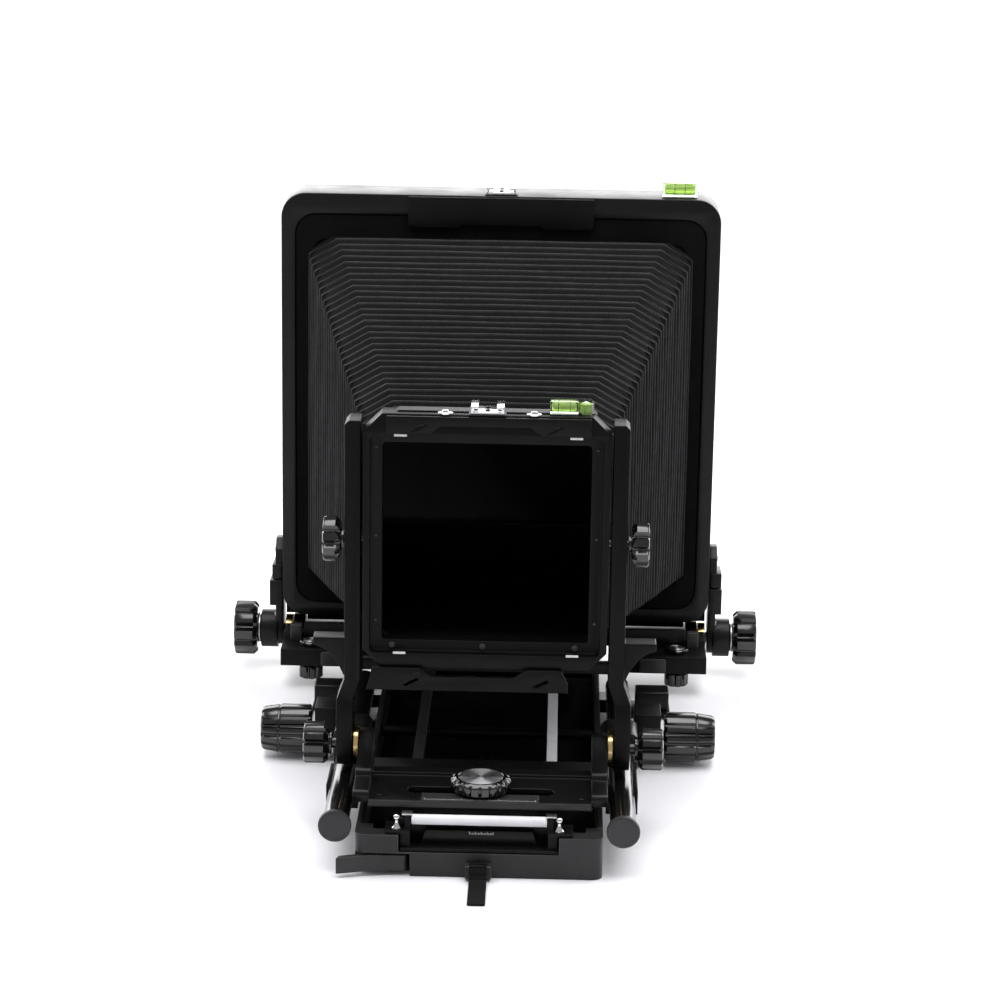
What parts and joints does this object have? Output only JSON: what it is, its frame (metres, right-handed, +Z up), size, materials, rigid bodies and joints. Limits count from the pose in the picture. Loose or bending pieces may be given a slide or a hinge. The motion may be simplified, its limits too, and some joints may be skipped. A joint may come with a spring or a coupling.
{
  "type": "view camera",
  "caption": "Large-format folding view camera, standards raised: tapered bellows, lens-board frame on a tilting yoke, geared focus, spring back.",
  "frame": {"origin": "centre of the tripod plate's underside, on the ground plane", "axes": "+X to the right seen from the lens end, -Y out of the lens end, +Z up"},
  "size_m": [0.422, 0.5418, 0.4026],
  "materials": {
    "satin_black": "satin black hard coat",
    "matte_black": "matte black hard coat",
    "dark_grey": "dark grey satin",
    "bare_steel": "brushed",
    "white_roller": "white, smooth",
    "knob_black": "gloss black moulded",
    "bellows_cloth": "coated black cloth",
    "strap_web": "black webbing",
    "ground_glass": "ground on one side",
    "level_green": "clear green",
    "spring_steel": "blued",
    "shoe_metal": "bright"
  },
  "bodies": {
    "bed": {"bed_floor": "matte_black", "bed_side_left": "satin_black", "bed_side_right": "satin_black", "bed_front_block": "satin_black", "tripod_plate": "bare_steel", "tube_bearing_left": "satin_black", "tube_bearing_right": "satin_black", "focus_housing_left": "matte_black", "focus_housing_right": "matte_black", "rear_saddle": "matte_black"},
    "release_lever": {"release_lever": "dark_grey"},
    "pull_strap": {"pull_strap": "strap_web"},
    "focus_drive": {"focus_shaft": "bare_steel", "focus_drum_left": "knob_black", "focus_drum_right": "knob_black"},
    "front_carriage": {"front_carriage": "matte_black", "guide_tube_left": "satin_black", "guide_tube_right": "satin_black", "rack_left": "dark_grey", "rack_right": "bare_steel", "roller_bracket": "dark_grey"},
    "roller": {"roller": "white_roller"},
    "swing_block": {"swing_stud": "bare_steel"},
    "shift_knob": {"shift_knob": "knob_black"},
    "cross_plate": {"cross_plate": "satin_black"},
    "base_tilt_knob_left": {"base_tilt_knob_left": "knob_black"},
    "base_tilt_knob_right": {"base_tilt_knob_right": "knob_black"},
    "yoke": {"yoke_arm_left": "satin_black", "yoke_arm_right": "satin_black", "yoke_tie": "matte_black"},
    "rise_slide": {"rise_block_left": "bare_steel", "rise_block_right": "bare_steel"},
    "rise_knob_left": {"rise_knob_left": "knob_black"},
    "rise_knob_right": {"rise_knob_right": "knob_black"},
    "lens_frame": {"lens_frame": "satin_black", "board_lock_top": "matte_black", "front_shoe": "shoe_metal", "front_level": "level_green"},
    "board_lock": {"board_lock_bottom": "matte_black"},
    "rear_base": {"rear_base_plate": "matte_black"},
    "swing_lock_knob_left": {"swing_lock_knob_left": "knob_black"},
    "swing_lock_knob_right": {"swing_lock_knob_right": "knob_black"},
    "rear_tilt_knob_left": {"rear_tilt_knob_left": "knob_black"},
    "rear_tilt_knob_right": {"rear_tilt_knob_right": "knob_black"},
    "rear_frame": {"rear_frame": "satin_black", "rear_tilt_arm_left": "satin_black", "rear_tilt_arm_right": "satin_black", "bellows_catch": "matte_black", "rear_shoe": "shoe_metal", "rear_level": "level_green", "reversible_back": "satin_black", "back_spring_top": "spring_steel", "back_spring_bottom": "spring_steel", "bellows": "bellows_cloth"},
    "glass_carrier": {"glass_frame": "matte_black", "ground_glass": "ground_glass"},
    "glass_cover": {"glass_cover": "matte_black"},
    "back_catch_left": {"back_catch_left": "matte_black"},
    "back_catch_right": {"back_catch_right": "matte_black"}
  },
  "joints": [
    {"name": "front_focus", "type": "slide", "parent": "bed", "child": "front_carriage", "axis": [0, -1, 0], "range_m": [-0.045, 0.1], "deforming": ["bellows"]},
    {"name": "focus_turn", "type": "hinge", "parent": "bed", "child": "focus_drive", "pos_m": [0, 0.041, 0.0195], "axis": [1, 0, 0], "range_deg": [-362, 800]},
    {"name": "lever_turn", "type": "hinge", "parent": "bed", "child": "release_lever", "pos_m": [-0.052, -0.1884, 0.009], "axis": [0, 0, 1], "range_deg": [0, 30]},
    {"name": "strap_lift", "type": "hinge", "parent": "bed", "child": "pull_strap", "pos_m": [0, -0.2003, 0.009], "axis": [-1, 0, 0], "range_deg": [0, 25]},
    {"name": "roller_turn", "type": "hinge", "parent": "front_carriage", "child": "roller", "pos_m": [0, -0.182, 0.0366], "axis": [1, 0, 0], "continuous": true},
    {"name": "front_swing", "type": "hinge", "parent": "front_carriage", "child": "swing_block", "pos_m": [0, -0.1525, 0.042], "axis": [0, 0, 1], "range_deg": [-8, 8]},
    {"name": "shift_knob_turn", "type": "hinge", "parent": "swing_block", "child": "shift_knob", "pos_m": [0, -0.1525, 0.05], "axis": [0, 0, 1], "range_deg": [0, 180]},
    {"name": "front_shift", "type": "slide", "parent": "swing_block", "child": "cross_plate", "axis": [1, 0, 0], "range_m": [-0.03, 0.03]},
    {"name": "base_tilt", "type": "hinge", "parent": "cross_plate", "child": "yoke", "pos_m": [0, -0.099, 0.06], "axis": [1, 0, 0], "range_deg": [-10, 20]},
    {"name": "base_tilt_knob_left_turn", "type": "hinge", "parent": "cross_plate", "child": "base_tilt_knob_left", "pos_m": [-0.11, -0.099, 0.06], "axis": [-1, 0, 0], "range_deg": [0, 180]},
    {"name": "base_tilt_knob_right_turn", "type": "hinge", "parent": "cross_plate", "child": "base_tilt_knob_right", "pos_m": [0.11, -0.099, 0.06], "axis": [1, 0, 0], "range_deg": [0, 180]},
    {"name": "front_rise", "type": "slide", "parent": "yoke", "child": "rise_slide", "axis": [0, 0, 1], "range_m": [-0.008, 0.03]},
    {"name": "rise_knob_left_turn", "type": "hinge", "parent": "rise_slide", "child": "rise_knob_left", "pos_m": [-0.1, -0.099, 0.208], "axis": [-1, 0, 0], "range_deg": [0, 180]},
    {"name": "rise_knob_right_turn", "type": "hinge", "parent": "rise_slide", "child": "rise_knob_right", "pos_m": [0.1, -0.099, 0.208], "axis": [1, 0, 0], "range_deg": [0, 180]},
    {"name": "centre_tilt", "type": "hinge", "parent": "rise_slide", "child": "lens_frame", "pos_m": [0, -0.099, 0.208], "axis": [1, 0, 0], "range_deg": [-8, 8]},
    {"name": "board_lock_slide", "type": "slide", "parent": "lens_frame", "child": "board_lock", "axis": [0.8449, 0, 0.5349], "range_m": [0, 0.012]},
    {"name": "rear_swing", "type": "hinge", "parent": "bed", "child": "rear_base", "pos_m": [0, 0.252, 0.0315], "axis": [0, 0, 1], "range_deg": [-6, 6]},
    {"name": "swing_lock_knob_left_turn", "type": "hinge", "parent": "rear_base", "child": "swing_lock_knob_left", "pos_m": [-0.146, 0.205, 0.012], "axis": [0, 0, -1], "range_deg": [0, 180]},
    {"name": "swing_lock_knob_right_turn", "type": "hinge", "parent": "rear_base", "child": "swing_lock_knob_right", "pos_m": [0.146, 0.205, 0.012], "axis": [0, 0, -1], "range_deg": [0, 180]},
    {"name": "rear_tilt", "type": "hinge", "parent": "rear_base", "child": "rear_frame", "pos_m": [0, 0.252, 0.0305], "axis": [1, 0, 0], "range_deg": [-12, 6]},
    {"name": "rear_tilt_knob_left_turn", "type": "hinge", "parent": "rear_base", "child": "rear_tilt_knob_left", "pos_m": [-0.2, 0.252, 0.0305], "axis": [-1, 0, 0], "range_deg": [0, 180]},
    {"name": "rear_tilt_knob_right_turn", "type": "hinge", "parent": "rear_base", "child": "rear_tilt_knob_right", "pos_m": [0.2, 0.252, 0.0305], "axis": [1, 0, 0], "range_deg": [0, 180]},
    {"name": "spring_back", "type": "slide", "parent": "rear_frame", "child": "glass_carrier", "axis": [0, 1, 0], "range_m": [0, 0.012], "stiffness_N_per_m": 600, "springref_m": -0.01, "deforming": ["back_spring_top", "back_spring_bottom"]},
    {"name": "back_catch_left_slide", "type": "slide", "parent": "rear_frame", "child": "back_catch_left", "axis": [1, 0, 0], "range_m": [0, 0.006]},
    {"name": "cover_turn", "type": "hinge", "parent": "glass_carrier", "child": "glass_cover", "pos_m": [0, 0.2971, 0.3215], "axis": [1, 0, 0], "range_deg": [0, 110]},
    {"name": "back_catch_right_slide", "type": "slide", "parent": "rear_frame", "child": "back_catch_right", "axis": [-1, 0, 0], "range_m": [0, 0.006]}
  ],
  "couplings": [
    {"joint": "focus_turn", "follows": "front_focus", "rad_per_m": 138.9}
  ]
}
